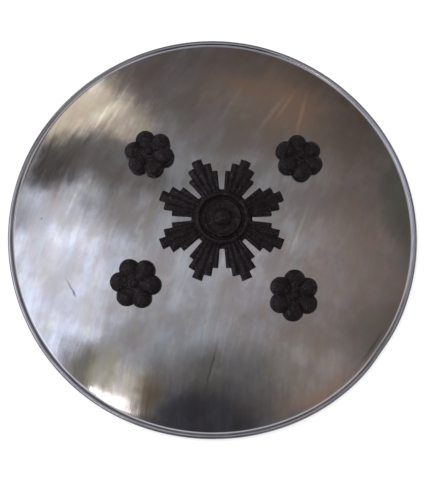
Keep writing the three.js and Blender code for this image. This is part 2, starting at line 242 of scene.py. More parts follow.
def revolved(profile, sides):
    """Points and faces of a body turned about Z. The profile's (radius, height) points start and
    end on the axis, or close on themselves when the first and last are the same."""
    rings = []
    points = []
    ring_profile = profile[:-1] if profile[0] == profile[-1] else profile
    for radius, height in ring_profile:
        if radius < 1e-6:
            rings.append([len(points)] * sides)
            points.append((0.0, 0.0, height))
        else:
            rings.append(list(range(len(points), len(points) + sides)))
            for i in range(sides):
                turn = 2 * math.pi * i / sides
                points.append((radius * math.cos(turn), radius * math.sin(turn), height))
    if profile[0] == profile[-1]:
        rings.append(rings[0])
    faces = []
    for first, second in zip(rings, rings[1:]):
        for i in range(sides):
            j = (i + 1) % sides
            corners = [first[i], first[j], second[j], second[i]]
            face = [c for k, c in enumerate(corners) if c != corners[k - 1]]
            if len(face) > 2:
                faces.append(face)
    return points, faces


def arc(centre, radius, start, end, steps):
    """Points on an arc in a profile, both ends included."""
    turns = [start + (end - start) * i / steps for i in range(steps + 1)]
    return [(centre[0] + radius * math.cos(t), centre[1] + radius * math.sin(t)) for t in turns]


def dome_frame(distance, bearing):
    """A frame in millimetres at the dome's centre, whose Z goes out through a place on the plate."""
    tilt = math.asin(distance / OUTER_RADIUS)
    return (Matrix.Translation((0, 0, DOME_CENTRE_Z)) @ Matrix.Rotation(bearing, 4, "Z")
            @ Matrix.Rotation(tilt, 4, "Y"))


def moved(points, matrix):
    """Points taken through a matrix."""
    array = np.asarray(points, float)
    turned = np.array(matrix.to_3x3())
    return array @ turned.T + np.array(matrix.translation)


def swept_faces(rings, count, clockwise=True):
    """Faces of a body swept through rings of this many points each, closed at both ends. It says
    which way round the points of a ring run, as seen along the sweep."""
    first = list(range(count))
    last = list(range((rings - 1) * count, rings * count))
    faces = [first[::-1], last] if clockwise else [first, last[::-1]]
    for i in range(0, (rings - 1) * count, count):
        for k in range(count):
            here, beside = i + k, i + (k + 1) % count
            corners = [beside, beside + count, here + count]
            faces.append([here, *(corners if clockwise else corners[::-1])])
    return faces


def joined(parts):
    """Points and faces of several bodies as one list."""
    points, faces = [], []
    for part_points, part_faces in parts:
        start = len(points)
        points.extend(tuple(p) for p in part_points)
        faces.extend([[start + i for i in face] for face in part_faces])
    return points, faces


# Plate
def plate_profile():
    """The sheet from the crown's inside, round the rolled edge, and back over the front to the crown.
    Also says at which point the front begins."""
    centre, roll_centre = (0, DOME_CENTRE_Z), (ROLL_CENTRE_RADIUS, ROLL_RADIUS)
    inside = arc(centre, INNER_RADIUS, math.pi / 2, EDGE_ANGLE, INSIDE_STEPS)
    # The roll runs from the inner face round to the fillet
    meeting = math.atan2(FILLET_CENTRE[1] - roll_centre[1], FILLET_CENTRE[0] - roll_centre[0])
    roll = arc(roll_centre, ROLL_RADIUS, EDGE_ANGLE - math.pi, meeting, ROLL_STEPS)
    fillet = arc(FILLET_CENTRE, FILLET_RADIUS, meeting - math.pi, FILLET_ANGLE - math.pi, FILLET_STEPS)
    front = arc(centre, OUTER_RADIUS, FILLET_ANGLE, math.pi / 2, FRONT_STEPS)
    return inside + roll[1:] + fillet[1:] + front[1:], len(inside)


def shape_plate(points):
    """Makes the turned plate hand-forged: a little out of round, wavy, with a bruised rim."""
    p = np.asarray(points, float)
    radius = np.hypot(p[:, 0], p[:, 1])
    bearing = np.arctan2(p[:, 1], p[:, 0])
    shrink = np.zeros(len(p))
    for lobes, depth, turn in OUT_OF_ROUND:
        shrink += depth * (1 - np.cos(lobes * (bearing - math.radians(turn)))) / 2
    off = np.abs((bearing - FLAT_SPOT_BEARING + math.pi) % (2 * math.pi) - math.pi)
    near_edge = radius > FLAT_SPOT_INNER_RADIUS
    shrink += FLAT_SPOT_DEPTH * np.exp(-((off / FLAT_SPOT_HALF_ANGLE) ** 2)) * near_edge
    scale = 1 - shrink * (radius / SHIELD_RADIUS) ** 2 / SHIELD_RADIUS
    p[:, :2] *= scale[:, None]
    fade = np.clip((ROLL_CENTRE_RADIUS - radius) / WAVE_FADE_WIDTH, 0, 1)
    for i in np.nonzero(fade > 0)[0]:
        place = Vector(p[i]) / WAVE_LENGTH
        place.z = 0
        p[i, 2] += WAVE_DEPTH * (noise.noise(place) - WAVE_SINK) * fade[i]
    for i in np.nonzero(radius > ROLL_CENTRE_RADIUS - ROLL_RADIUS - ROLL_MARGIN)[0]:
        toward = np.array([math.cos(bearing[i]), math.sin(bearing[i])])
        pinch = ROLL_PINCH * (0.5 + 0.5 * noise.noise(Vector((*toward, 0)) * ROLL_PINCH_SCALE))
        middle = ROLL_CENTRE_RADIUS * scale[i]
        across = p[i, :2] @ toward - middle
        p[i, :2] -= toward * across * pinch
        p[i, 2] -= (p[i, 2] - ROLL_RADIUS) * pinch * (p[i, 2] > ROLL_RADIUS)
    return p


def make_plate(front, inside):
    """The plate, with one material on its front and rolled edge and another inside."""
    profile, inner_count = plate_profile()
    points, faces = revolved(profile, PLATE_SIDES)
    plate = make_object("domed_plate", shape_plate(points), faces)
    plate.data.materials.append(front)
    plate.data.materials.append(inside)
    inside_faces = PLATE_SIDES * (inner_count - 1)
    indices = [int(i < inside_faces) for i in range(len(plate.data.polygons))]
    plate.data.polygons.foreach_set("material_index", indices)
    return plate


# Cast ornaments
def on_dome(radius, turn, lift):
    """A point over the plate's face in a frame at the dome's centre."""
    height = math.sqrt((OUTER_RADIUS + lift) ** 2 - radius**2)
    return (radius * math.cos(turn), radius * math.sin(turn), height)


def sun_bar(direction, bar_angle, length, height):
    """One wedge-shaped bar with a ridge along its middle, cut square at its tip."""
    points = []
    half = bar_angle / 2 + BAR_OVERLAP
    for i in range(BAR_STEPS + 1):
        station = HUB_RADIUS - BAR_ROOT_DEPTH + (length + BAR_ROOT_DEPTH) * i / BAR_STEPS
        edge = station / math.cos(half)
        low, high = direction - half, direction + half
        points.extend(on_dome(*place) for place in (
            (edge, low, SEAT_GAP), (edge, high, SEAT_GAP), (edge, high, REED_FLOOR_HEIGHT),
            (station, direction, height), (edge, low, REED_FLOOR_HEIGHT)))
    return points, swept_faces(BAR_STEPS + 1, 5)


def hub_profile():
    """The hub's mouldings, and its underside just off the plate."""
    underside = [(HUB_RADIUS * share, SEAT_GAP) for share in (1.0, 0.75, 0.5, 0.25, 0.0)]
    return [(radius, on_dome(radius, 0, lift)[2]) for radius, lift in HUB_MOULDINGS + underside]


def shank_body(radius, washer_top):
    """A shank from inside an ornament down to its peened head, which is domed and has a worn edge."""
    head = radius + PEEN_OVERLAP
    top = washer_top - WASHER_THICKNESS - SEAT_GAP
    low = top - PEEN_HEIGHT
    root = OUTER_RADIUS + SHANK_ROOT_HEIGHT
    worn = 0.1
    profile = [(0.0, low), (head * 0.45, low + 0.08), (head * 0.8, low + 0.5), (head, low + 1.25),
               (head, top - worn), (head - worn, top), (radius, top), (radius, root), (0.0, root)]
    return revolved(profile, SHANK_SIDES)


def cast(name, parts, matrix, voxel, keep, lump_depth, lump_length):
    """One rough casting of overlapping bodies: put in place, fused, softened and made uneven."""
    points, faces = joined(parts)
    body = make_object(name, moved(points, matrix), faces)
    lumps = bpy.data.textures.new(name + "_lumps", "CLOUDS")
    lumps.noise_scale = lump_length * MM
    lumps.noise_depth = 3
    modifiers = {
        "REMESH": {"mode": "VOXEL", "voxel_size": voxel * MM, "adaptivity": 0.0},
        "SMOOTH": {"factor": 0.5, "iterations": 3},
        "DISPLACE": {"texture": lumps, "texture_coords": "LOCAL", "mid_level": 0.5,
                     "strength": lump_depth * MM},
        "DECIMATE": {"ratio": keep},
    }
    for kind, settings in modifiers.items():
        modifier = body.modifiers.new(kind.lower(), kind)
        for key, value in settings.items():
            setattr(modifier, key, value)
    graph = bpy.context.evaluated_depsgraph_get()
    mesh = bpy.data.meshes.new_from_object(body.evaluated_get(graph))
    shade_smooth(mesh)
    body.modifiers.clear()
    body.data = mesh
    return body


def knock_knob(points, radius, seed, depth, facets):
    """Hammer facets on a knob: flattens it by planes that lean a little each way."""
    chance = random.Random(seed)
    array = np.asarray(points, float)
    centre = np.array([0, 0, OUTER_RADIUS])
    for i in range(facets):
        lean = math.radians(chance.uniform(18, 50))
        turn = 2 * math.pi * (i + chance.uniform(-0.3, 0.3)) / facets
        way = np.array([math.sin(lean) * math.cos(turn), math.sin(lean) * math.sin(turn),
                        math.cos(lean)])
        near = np.hypot(array[:, 0], array[:, 1]) < radius * 1.05
        reach = (array - centre) @ way
        limit = reach[near].max() - depth * chance.uniform(0.6, 1.4)
        over = np.where(near, np.clip(reach - limit, 0, None), 0)
        array -= over[:, None] * way * 0.9
    return array


def make_sunburst():
    """The sunburst: its hub, the bars of its rays and its shank, cast in one."""
    hub_points, hub_faces = revolved(hub_profile(), HUB_SIDES)
    hub_points = knock_knob(hub_points, radius=7.6, seed=4, depth=0.5, facets=7)
    parts = [(hub_points, hub_faces), shank_body(SUNBURST_SHANK_RADIUS, SUNBURST_WASHER_TOP)]
    for ray in range(RAY_COUNT):
        edge = (ray + 0.5) * 2 * math.pi / RAY_COUNT - sum(BAR_ANGLES) / 2
        for length, height, angle in zip(BAR_LENGTHS, BAR_HEIGHTS, BAR_ANGLES):
            parts.append(sun_bar(edge + angle / 2, angle, length, height))
            edge += angle
    matrix = dome_frame(*SUNBURST_PLACE) @ Matrix.Rotation(-SUNBURST_PLACE[1], 4, "Z")
    return cast("cast_sunburst", parts, matrix, voxel=0.42, keep=0.5, lump_depth=0.22, lump_length=5.0)


def squashed_ball(height, radius, half_height):
    """A ball on the Z axis with its middle at this height, squashed or drawn out upwards."""
    sides, rings = 32, 16
    profile = [(math.sin(math.pi * i / rings), -math.cos(math.pi * i / rings))
               for i in range(rings + 1)]
    points, faces = revolved(profile, sides)
    scale = Matrix.Diagonal((radius, radius, half_height, 1))
    return moved(points, Matrix.Translation((0, 0, height)) @ scale), faces


def petal_body(radius, ring, height):
    """A petal along X: a narrow neck that widens into a ball, over a wall down to the plate."""
    steps = 36
    crown_steps = 18
    root = OUTER_RADIUS - PETAL_ROOT_DEPTH
    seat = OUTER_RADIUS + PETAL_EDGE_HEIGHT
    rise = height - PETAL_EDGE_HEIGHT
    points = []
    for i in range(steps + 1):
        # Stations crowd towards the petal's tip, where its outline turns quickly
        along = (ring + radius) * math.sin(math.pi / 2 * i / steps)
        if along < ring:
            share = along / ring
            half_width = NECK_HALF_WIDTH + (radius - NECK_HALF_WIDTH) * share**NECK_WIDENING
            crown = rise * (NECK_HEIGHT_SHARE + (1 - NECK_HEIGHT_SHARE) * share**NECK_RISE)
        else:
            half_width = math.sqrt(max(radius**2 - (along - ring) ** 2, 0.01))
            crown = rise * (half_width / radius) ** PETAL_FULLNESS
        points.append((along, half_width, root))
        for k in range(crown_steps + 1):
            turn = math.pi * k / crown_steps
            height = seat + crown * math.sin(turn) ** PETAL_FULLNESS
            points.append((along, half_width * math.cos(turn), height))
        points.append((along, -half_width, root))
    return points, swept_faces(steps + 1, crown_steps + 3)


def make_rosette(name, seed):
    """A rosette: petals of slightly uneven size, a floor, a mound, a knob and a shank, cast in one."""
    distance, *bearings, size = ROSETTES[name]
    bearing, petal = map(math.radians, bearings)
    chance = random.Random(seed)
    parts = []
    for i in range(PETAL_COUNT):
        aside = math.radians(chance.uniform(-PETAL_TURN_SPREAD, PETAL_TURN_SPREAD))
        turn = 2 * math.pi * i / PETAL_COUNT + aside
        radius = PETAL_RADIUS * size * chance.uniform(LEAST_PETAL_RADIUS, 1.0)
        ring = PETAL_RING_RADIUS * size * chance.uniform(LEAST_RING_RADIUS, 1.0)
        height = PETAL_HEIGHT * chance.uniform(LEAST_PETAL_HEIGHT, 1.0)
        points, faces = petal_body(radius, ring, height)
        parts.append((moved(points, Matrix.Rotation(turn, 4, "Z")), faces))
    root = OUTER_RADIUS - PETAL_ROOT_DEPTH
    top = OUTER_RADIUS + ROSETTE_FLOOR_HEIGHT
    floor = [(0.0, root), (ROSETTE_FLOOR_RADIUS, root), (ROSETTE_FLOOR_RADIUS, top), (0.0, top)]
    parts.append(revolved(floor, ROSETTE_FLOOR_SIDES))
    parts.append(squashed_ball(OUTER_RADIUS + MOUND_FOOT, MOUND_RADIUS, MOUND_HALF_HEIGHT))
    knob_points, knob_faces = squashed_ball(
        OUTER_RADIUS + ROSETTE_KNOB_FOOT, ROSETTE_KNOB_RADIUS, ROSETTE_KNOB_HALF_HEIGHT)
    parts.append((knock_knob(knob_points, radius=6.5, seed=seed, depth=0.7, facets=5), knob_faces))
    parts.append(shank_body(ROSETTE_SHANK_RADIUS, STRAP_WASHER_TOP))
    matrix = dome_frame(distance, bearing) @ Matrix.Rotation(petal - bearing, 4, "Z")
    body = cast(f"cast_rosette_{name}", parts, matrix,
                voxel=0.34, keep=0.55, lump_depth=0.55, lump_length=4.0)
    seat_on_plate(body, distance, bearing)
    return body


def seat_on_plate(body, distance, bearing):
    """Lays the casting's underside on the plate, outside the shank."""
    mesh = body.data
    co = np.zeros(len(mesh.vertices) * 3)
    mesh.vertices.foreach_get("co", co)
    points = co.reshape(-1, 3) / MM
    matrix = dome_frame(distance, bearing)
    centre = np.array(matrix.translation)
    axis = np.array(matrix.to_3x3() @ Vector((0, 0, 1)))
    out = points - centre
    reach = np.linalg.norm(out, axis=1)
    along = out @ axis
    off_axis = np.linalg.norm(out - along[:, None] * axis, axis=1)
    seat = OUTER_RADIUS + SEAT_GAP
    low = (reach < seat) & (off_axis > ROSETTE_SHANK_RADIUS + PEEN_OVERLAP + HEAD_MARGIN)
    points[low] = centre + out[low] / reach[low, None] * seat
    mesh.vertices.foreach_set("co", (points * MM).ravel())
    mesh.update()


# Washers and straps
def make_washer(name, shank_radius, top, matrix):
    """A washer round a shank, with its outer corners rounded and its inner ones cut off."""
    inner = shank_radius + SHANK_CLEARANCE
    outer = inner + WASHER_RIM_WIDTH
    low = top - WASHER_THICKNESS
    bevel = WASHER_BEVEL
    corner = bevel * 0.3
    profile = [
        (inner + bevel, low), (outer - bevel, low), (outer - corner, low + corner),
        (outer, low + bevel), (outer, top - bevel), (outer - corner, top - corner),
        (outer - bevel, top), (inner + bevel, top), (inner, top - bevel), (inner, low + bevel),
        (inner + bevel, low),
    ]
    points, faces = revolved(profile, WASHER_SIDES)
    return make_object(name, moved(points, matrix), faces)


def strap_section():
    """Points round the strap: which side, how far in from the strap's edge, and the height over its
    middle. Each corner is an arc."""
    corner_steps = 4
    section = []
    for side, level in ((1, 1), (-1, 1), (-1, -1), (1, -1)):
        for k in range(corner_steps + 1):
            # Two of the corners start on the side face and two on the level face
            turn = math.pi / 2 * (k if side == level else corner_steps - k) / corner_steps
            section.append((side, STRAP_EDGE_RADIUS * (math.cos(turn) - 1),
                            level * (STRAP_THICKNESS / 2 + STRAP_EDGE_RADIUS * (math.sin(turn) - 1))))
    return section


def make_strap(name, low_rosette, high_rosette):
    """A leather strap between two rosettes' shanks, arched away from the plate for the hand."""
    def out(rosette):
        distance, bearing, *_ = ROSETTES[rosette]
        return (dome_frame(distance, math.radians(bearing)).to_3x3() @ Vector((0, 0, 1))).normalized()

    start, end = out(low_rosette), out(high_rosette)
    up = (start + end).normalized()
    along = (end - start).normalized()
    across = along.cross(up)
    half_angle = start.angle(end) / 2
    mid_radius = STRAP_SEAT_RADIUS - STRAP_THICKNESS / 2
    bend_start = half_angle - STRAP_SEAT_LENGTH / mid_radius
    flat_end = STRAP_FLAT_LENGTH / 2 / mid_radius
    tip = half_angle + STRAP_END_LENGTH / mid_radius
    loop_depth = STRAP_HAND_GAP + INNER_RADIUS - STRAP_SEAT_RADIUS
    end_radius = STRAP_WIDTH / 2

    def middle(angle):
        share = min(max((abs(angle) - flat_end) / (bend_start - flat_end), 0), 1)
        radius = mid_radius - loop_depth * (1 + math.cos(math.pi * share)) / 2
        return np.array([radius * math.sin(angle), radius * math.cos(angle)])

    def outward(angle):
        step = 1e-4
        direction = middle(angle + step) - middle(angle - step)
        direction /= np.linalg.norm(direction)
        return np.array([-direction[1], direction[0]])

    points = []
    section = strap_section()
    for i in range(STRAP_STEPS + 1):
        # Stations crowd at the ends, where the strap is rounded
        share = 0.5 - 0.5 * math.cos(math.pi * i / STRAP_STEPS)
        angle = -tip + 2 * tip * (STRAP_CROWDING * share + (1 - STRAP_CROWDING) * i / STRAP_STEPS)
        from_tip = (tip - abs(angle)) * mid_radius
        half_width = end_radius
        if from_tip < end_radius:
            half_width = math.sqrt(max(end_radius**2 - (end_radius - from_tip) ** 2, 0.01))
        for side, inset, lift in section:
            y, z = middle(angle) + outward(angle) * lift
            points.append((side * max(half_width + inset, half_width * STRAP_TIP_SHARE), y, z))
    matrix = (Matrix.Translation((0, 0, DOME_CENTRE_Z))
              @ Matrix((across, along, up)).transposed().to_4x4())
    faces = swept_faces(STRAP_STEPS + 1, len(section), clockwise=False)
    return make_object(name, moved(points, matrix), faces)


# Node helpers
class Tree:
    """Short calls for building a node tree."""

    def __init__(self, owner):
        owner.use_nodes = True
        self.tree = owner.node_tree
        self.tree.nodes.clear()

    def add(self, kind, inputs=None, **settings):
        node = self.tree.nodes.new(kind)
        for key, value in settings.items():
            setattr(node, key, value)
        for key, value in (inputs or {}).items():
            self.put(node.inputs[key], value)
        return node

    def put(self, socket, value):
        if isinstance(value, bpy.types.NodeSocket):
            self.tree.links.new(value, socket)
        elif socket.type == "RGBA":
            socket.default_value = (*value, 1.0)
        else:
            socket.default_value = value

    def math(self, operation, a, b=0.0):
        return self.add("ShaderNodeMath", {0: a, 1: b}, operation=operation).outputs[0]

    def times(self, a, b):
        return self.math("MULTIPLY", a, b)

    def plus(self, a, b):
        return self.math("ADD", a, b)

    def minus(self, a, b):
        return self.math("SUBTRACT", a, b)

    def multiply_add(self, a, factor, offset):
        node = self.add("ShaderNodeMath", {0: a, 1: factor, 2: offset}, operation="MULTIPLY_ADD")
        return node.outputs[0]

    def vector(self, operation, a, b=(0, 0, 0)):
        node = self.add("ShaderNodeVectorMath", {0: a, 1: b}, operation=operation)
        return node.outputs["Value" if operation in ("DOT_PRODUCT", "LENGTH") else "Vector"]

    def scaled(self, a, factor):
        node = self.add("ShaderNodeVectorMath", {0: a, "Scale": factor}, operation="SCALE")
        return node.outputs["Vector"]

    def combine(self, x, y, z=0.0):
        return self.add("ShaderNodeCombineXYZ", {0: x, 1: y, 2: z}).outputs[0]

    def separate(self, place):
        return self.add("ShaderNodeSeparateXYZ", {0: place}).outputs

    def noise(self, place, scale, detail=3.0, roughness=0.5, colour=False):
        node = self.add("ShaderNodeTexNoise", {"Vector": place, "Scale": scale, "Detail": detail,
                                               "Roughness": roughness})
        return node.outputs["Color" if colour else "Fac"]

    def wander(self, place, amount, scale, detail, roughness):
        """A vector of noise about nought, of up to about half this amount each way."""
        swing = self.vector("SUBTRACT", self.noise(place, scale, detail, roughness, colour=True),
                            (0.5, 0.5, 0.5))
        return self.scaled(swing, amount)

    def ranged(self, value, low, high, to_low=0.0, to_high=1.0, smooth=True):
        kind = "SMOOTHSTEP" if smooth else "LINEAR"
        node = self.add("ShaderNodeMapRange", {"Value": value, "From Min": low, "From Max": high,
                                               "To Min": to_low, "To Max": to_high},
                        interpolation_type=kind)
        return node.outputs["Result"]

    def ramp(self, value, stops):
        """A colour that runs through stops, each a (place, colour), in rising order."""
        low, high = stops[0][0], stops[-1][0]
        node = self.add("ShaderNodeValToRGB", {0: self.ranged(value, low, high, smooth=False)})
        elements = node.color_ramp.elements
        while len(elements) < len(stops):
            elements.new(0.5)
        for element, (place, colour) in zip(elements, stops):
            element.position = (place - low) / (high - low)
            element.color = (*colour, 1.0)
        return node.outputs["Color"]

    def patch(self, place, middle, sizes, turn, softness):
        """1 in a soft-edged oval and 0 outside it: its middle, half sizes and turn in degrees."""
        local = self.add("ShaderNodeMapping", {
            "Vector": place, "Location": (*middle, 0), "Rotation": (0, 0, math.radians(turn)),
            "Scale": (*sizes, 1)}, vector_type="TEXTURE").outputs[0]
        edge = self.vector("LENGTH", self.vector("MULTIPLY", local, (1, 1, 0)))
        return self.ranged(edge, 1 - softness, 1 + softness, 1.0, 0.0)

    def mix(self, factor, a, b, blend="MIX"):
        node = self.add("ShaderNodeMix", data_type="RGBA", blend_type=blend)
        self.put(node.inputs["Factor"], factor)
        self.put(node.inputs[6], a)
        self.put(node.inputs[7], b)
        return node.outputs[2]

    def bump(self, height, strength, distance, normal=None):
        """A normal that follows a height, over another normal if one is given."""
        inputs = {"Strength": strength, "Distance": distance, "Height": height}
        if normal:
            inputs["Normal"] = normal
        return self.add("ShaderNodeBump", inputs).outputs[0]

    def surface(self, inputs):
        """Ends a material's tree with a surface."""
        shader = self.add("ShaderNodeBsdfPrincipled", inputs)
        self.add("ShaderNodeOutputMaterial", {"Surface": shader.outputs[0]})


def new_material(name):
    """A material and the tree that builds it."""
    material = bpy.data.materials.new(name)
    return material, Tree(material)


def object_place(tree):
    return tree.add("ShaderNodeTexCoord").outputs["Object"]


# Steel: the polishing streaks lean and bend, and wander from side to side by this much, in metres
STREAK_LEAN = 0.34
STREAK_BEND = 0.55
STREAK_WANDER = 0.022

# How far the mirroring face leans: in feathers along the streaks, across them, and in hammered waves
FEATHER_LEAN = 0.07
FINE_FEATHER_LEAN = 0.018
SIDE_LEAN = 0.034
WAVE_LEAN = 0.085
# The rolled edge leans more, in lines that run along it
EDGE_LEAN = 0.8

STEEL = (0.72, 0.715, 0.725)
WORN_STEEL = (0.55, 0.54, 0.55)
BROWNED_STEEL = (0.43, 0.385, 0.35)
# Painted highlight: the colour of the bright line just inside the rolled edge
PAINTED_HIGHLIGHT_STEEL = (0.86, 0.86, 0.88)
EDGE_DARK = (0.38, 0.365, 0.4)
EDGE_LIGHT = (0.56, 0.55, 0.57)
# Painted shade: the colour of the dark line in the corner beside the roll
PAINTED_CORNER_SHADE = (0.12, 0.11, 0.105)
# Faint tints of oil and heat, each pair from one end of its range to the other
COOL, WARM = (0.95, 0.97, 1.0), (1.0, 0.97, 0.925)
GREENISH, PINKISH = (0.97, 1.0, 0.97), (1.0, 0.97, 0.985)

# Patina on the front, seen from above: middle, half sizes and turn, softness, strength and colour
BROWN = (0.54, 0.455, 0.41)
RUST = (0.64, 0.46, 0.365)
OLIVE = (0.4, 0.4, 0.35)
PATINA = {
    "brown_top": ((0.02, 0.15), (0.085, 0.03), -6, 0.8, 0.55, BROWN),
    "brown_top_right": ((0.08, 0.135), (0.08, 0.05), -38, 0.7, 0.6, BROWN),
    "rust_streak_high": ((0.088, 0.116), (0.013, 0.026), -22, 0.8, 0.8, RUST),
    "brown_arc": ((0.052, 0.143), (0.042, 0.009), -14, 0.8, 0.6, RUST),
    "blue_right": ((0.16, 0.046), (0.013, 0.011), 10, 0.6, 0.6, (0.34, 0.37, 0.42)),
    "rust_streak_low": ((0.064, 0.11), (0.005, 0.024), -24, 0.8, 0.7, RUST),
    "brown_right": ((0.15, -0.03), (0.055, 0.09), 10, 0.8, 0.55, BROWN),
    "rust_low_right": ((0.098, -0.158), (0.042, 0.009), 31, 0.9, 0.65, RUST),
    "brown_low_right": ((0.094, -0.13), (0.04, 0.022), 36, 0.9, 0.35, BROWN),
    "olive_right": ((0.182, 0.035), (0.02, 0.06), 0, 0.6, 0.55, OLIVE),
    "olive_right_low": ((0.15, -0.09), (0.03, 0.02), 50, 0.8, 0.45, OLIVE),
    "brown_low_left": ((-0.066, -0.158), (0.007, 0.022), -20, 0.6, 0.75, BROWN),
    "olive_low_left": ((-0.105, -0.125), (0.035, 0.014), 40, 0.8, 0.4, OLIVE),
}

# Scratches on the front, seen from above: middle, half length and half width, bearing in degrees and
# how much of the steel's brightness they have
SCRATCHES = {
    "left": ((-0.1358, -0.0577), (0.008, 0.0007), -59, 0.5),
    "left_end": ((-0.1325, -0.064), (0.0028, 0.001), -66, 0.45),
    "low": ((-0.0046, -0.1374), (0.018, 0.001), 75, 0.62),
    "pit": ((-0.165, 0.0109), (0.001, 0.0009), 0, 0.45),
    "upper_left": ((-0.098, 0.109), (0.02, 0.0016), 58, 1.3),
    "upper_left_side": ((-0.108, 0.113), (0.016, 0.0012), 62, 1.18),
    "upper_left_short": ((-0.134, 0.027), (0.012, 0.0016), 66, 1.22),
    "upper_right": ((0.056, 0.112), (0.019, 0.0022), 56, 1.3),
    "upper_right_side": ((0.07, 0.122), (0.016, 0.0016), 58, 1.26),
    "upper_right_long": ((0.0855, 0.113), (0.019, 0.0019), 75, 1.32),
    "top": ((0.015, 0.118), (0.024, 0.002), 60, 1.15),
    "right_of_sun": ((0.063, 0.057), (0.01, 0.0022), 64, 1.22),
    "lower_right": ((0.079, -0.008), (0.019, 0.0015), 68, 1.22),
    "below_sun": ((0.033, -0.05), (0.014, 0.0014), 66, 1.2),
}


def streak_places(tree):
    """The place itself, and how far across and along the polishing streaks it lies, in metres. They
    lean to the right and bend with height."""
    place = object_place(tree)
    x, y, _ = tree.separate(place)
    lean = tree.times(y, STREAK_LEAN)
    bend = tree.times(tree.times(y, y), STREAK_BEND)
    across = tree.minus(tree.minus(x, lean), bend)
    aside = tree.times(tree.noise(place, 11.0), STREAK_WANDER)
    return place, (tree.plus(across, aside), y)


def streaks(tree, flow, width, length, seed, detail=2.0):
    """Noise drawn out along the streaks, with streaks of about this width and length in metres."""
    across, along = flow
    stretched = tree.combine(tree.times(across, 1 / width), tree.times(along, 1 / length), seed)
    return tree.noise(stretched, 1.0, detail, 0.55)


def around_middle(tree, value, amount):
    """A noise value turned into a swing of this amount about nought."""
    return tree.times(tree.minus(value, 0.5), amount)


def patinated(tree, place, tone):
    """The tone with each stain of the patina over it, ragged at the edges."""
    place = tree.vector("ADD", place, tree.wander(place, 0.05, 30.0, 4.0, 0.6))
    for middle, sizes, turn, softness, strength, colour in PATINA.values():
        stain = tree.patch(place, middle, sizes, turn, softness)
        tone = tree.mix(tree.times(stain, strength), tone, colour)
    return tone


def scratched(tree, place, tone):
    """The tone with each scratch darkened or brightened."""
    place = tree.vector("ADD", place, tree.wander(place, 0.0022, 160.0, 2.0, 0.5))
    for middle, sizes, turn, share in SCRATCHES.values():
        mark = tree.patch(place, middle, sizes, turn, 0.8)
        tone = tree.mix(mark, tone, tree.scaled(tone, share))
    return tone


def rolled_edge(tree, place):
    """How far a place is on the rolled edge, the way out from the axis, and lines that run along it."""
    x, y, z = tree.separate(place)
    flat = tree.combine(x, y)
    radius = tree.vector("LENGTH", flat)
    edge = tree.ranged(radius, (FRONT_EDGE_RADIUS + 0.4) * MM, (FRONT_EDGE_RADIUS + 1.2) * MM)
    outward = tree.vector("NORMALIZE", flat)
    turn = tree.math("ARCTAN2", tree.minus(z, ROLL_RADIUS * MM),
                     tree.minus(radius, ROLL_CENTRE_RADIUS * MM))
    round_edge = tree.vector("ADD", tree.scaled(outward, 6.0),
                             tree.combine(0.0, 0.0, tree.times(turn, 1.6)))
    return edge, radius, outward, tree.noise(round_edge, 1.0, 4.0, 0.6)


def beside(tree, radius, line, near, far, strength):
    """Strongest on a circle of this radius in millimetres, and nought this far from it in metres."""
    distance = tree.math("ABSOLUTE", tree.minus(radius, line * MM))
    return tree.ranged(distance, near, far, strength, 0.0)


def leaning_face(tree, place, flow, edge, outward, edge_lines):
    """The way the front faces. The finish leans a little from streak to streak, so what is mirrored is
    drawn out in feathers, the sheet has shallow hammered waves, and the rolled edge is lined."""
    scuffed = tree.ranged(tree.noise(place, 19.0, 2.0), 0.38, 0.66, 0.0, 1.0)
    feather = around_middle(tree, streaks(tree, flow, 0.0065, 0.034, 13.9), FEATHER_LEAN)
    fine = around_middle(tree, streaks(tree, flow, 0.002, 0.014, 17.2), FINE_FEATHER_LEAN)
    side = around_middle(tree, streaks(tree, flow, 0.007, 0.06, 21.4), SIDE_LEAN)
    drawn = tree.times(tree.plus(feather, fine), tree.ranged(scuffed, 0.0, 1.0, 0.35, 1.0))
    lean = tree.combine(tree.plus(side, tree.times(drawn, STREAK_LEAN)), drawn)
    lean = tree.vector("ADD", lean, tree.wander(place, WAVE_LEAN, 30.0, 4.0, 0.55))
    lean = tree.scaled(lean, tree.minus(1.0, edge))
    edge_lean = tree.times(around_middle(tree, edge_lines, EDGE_LEAN), edge)
    lean = tree.vector("ADD", lean, tree.scaled(outward, edge_lean))
    normal = tree.add("ShaderNodeNewGeometry").outputs["Normal"]
    return tree.vector("NORMALIZE", tree.vector("ADD", normal, lean))


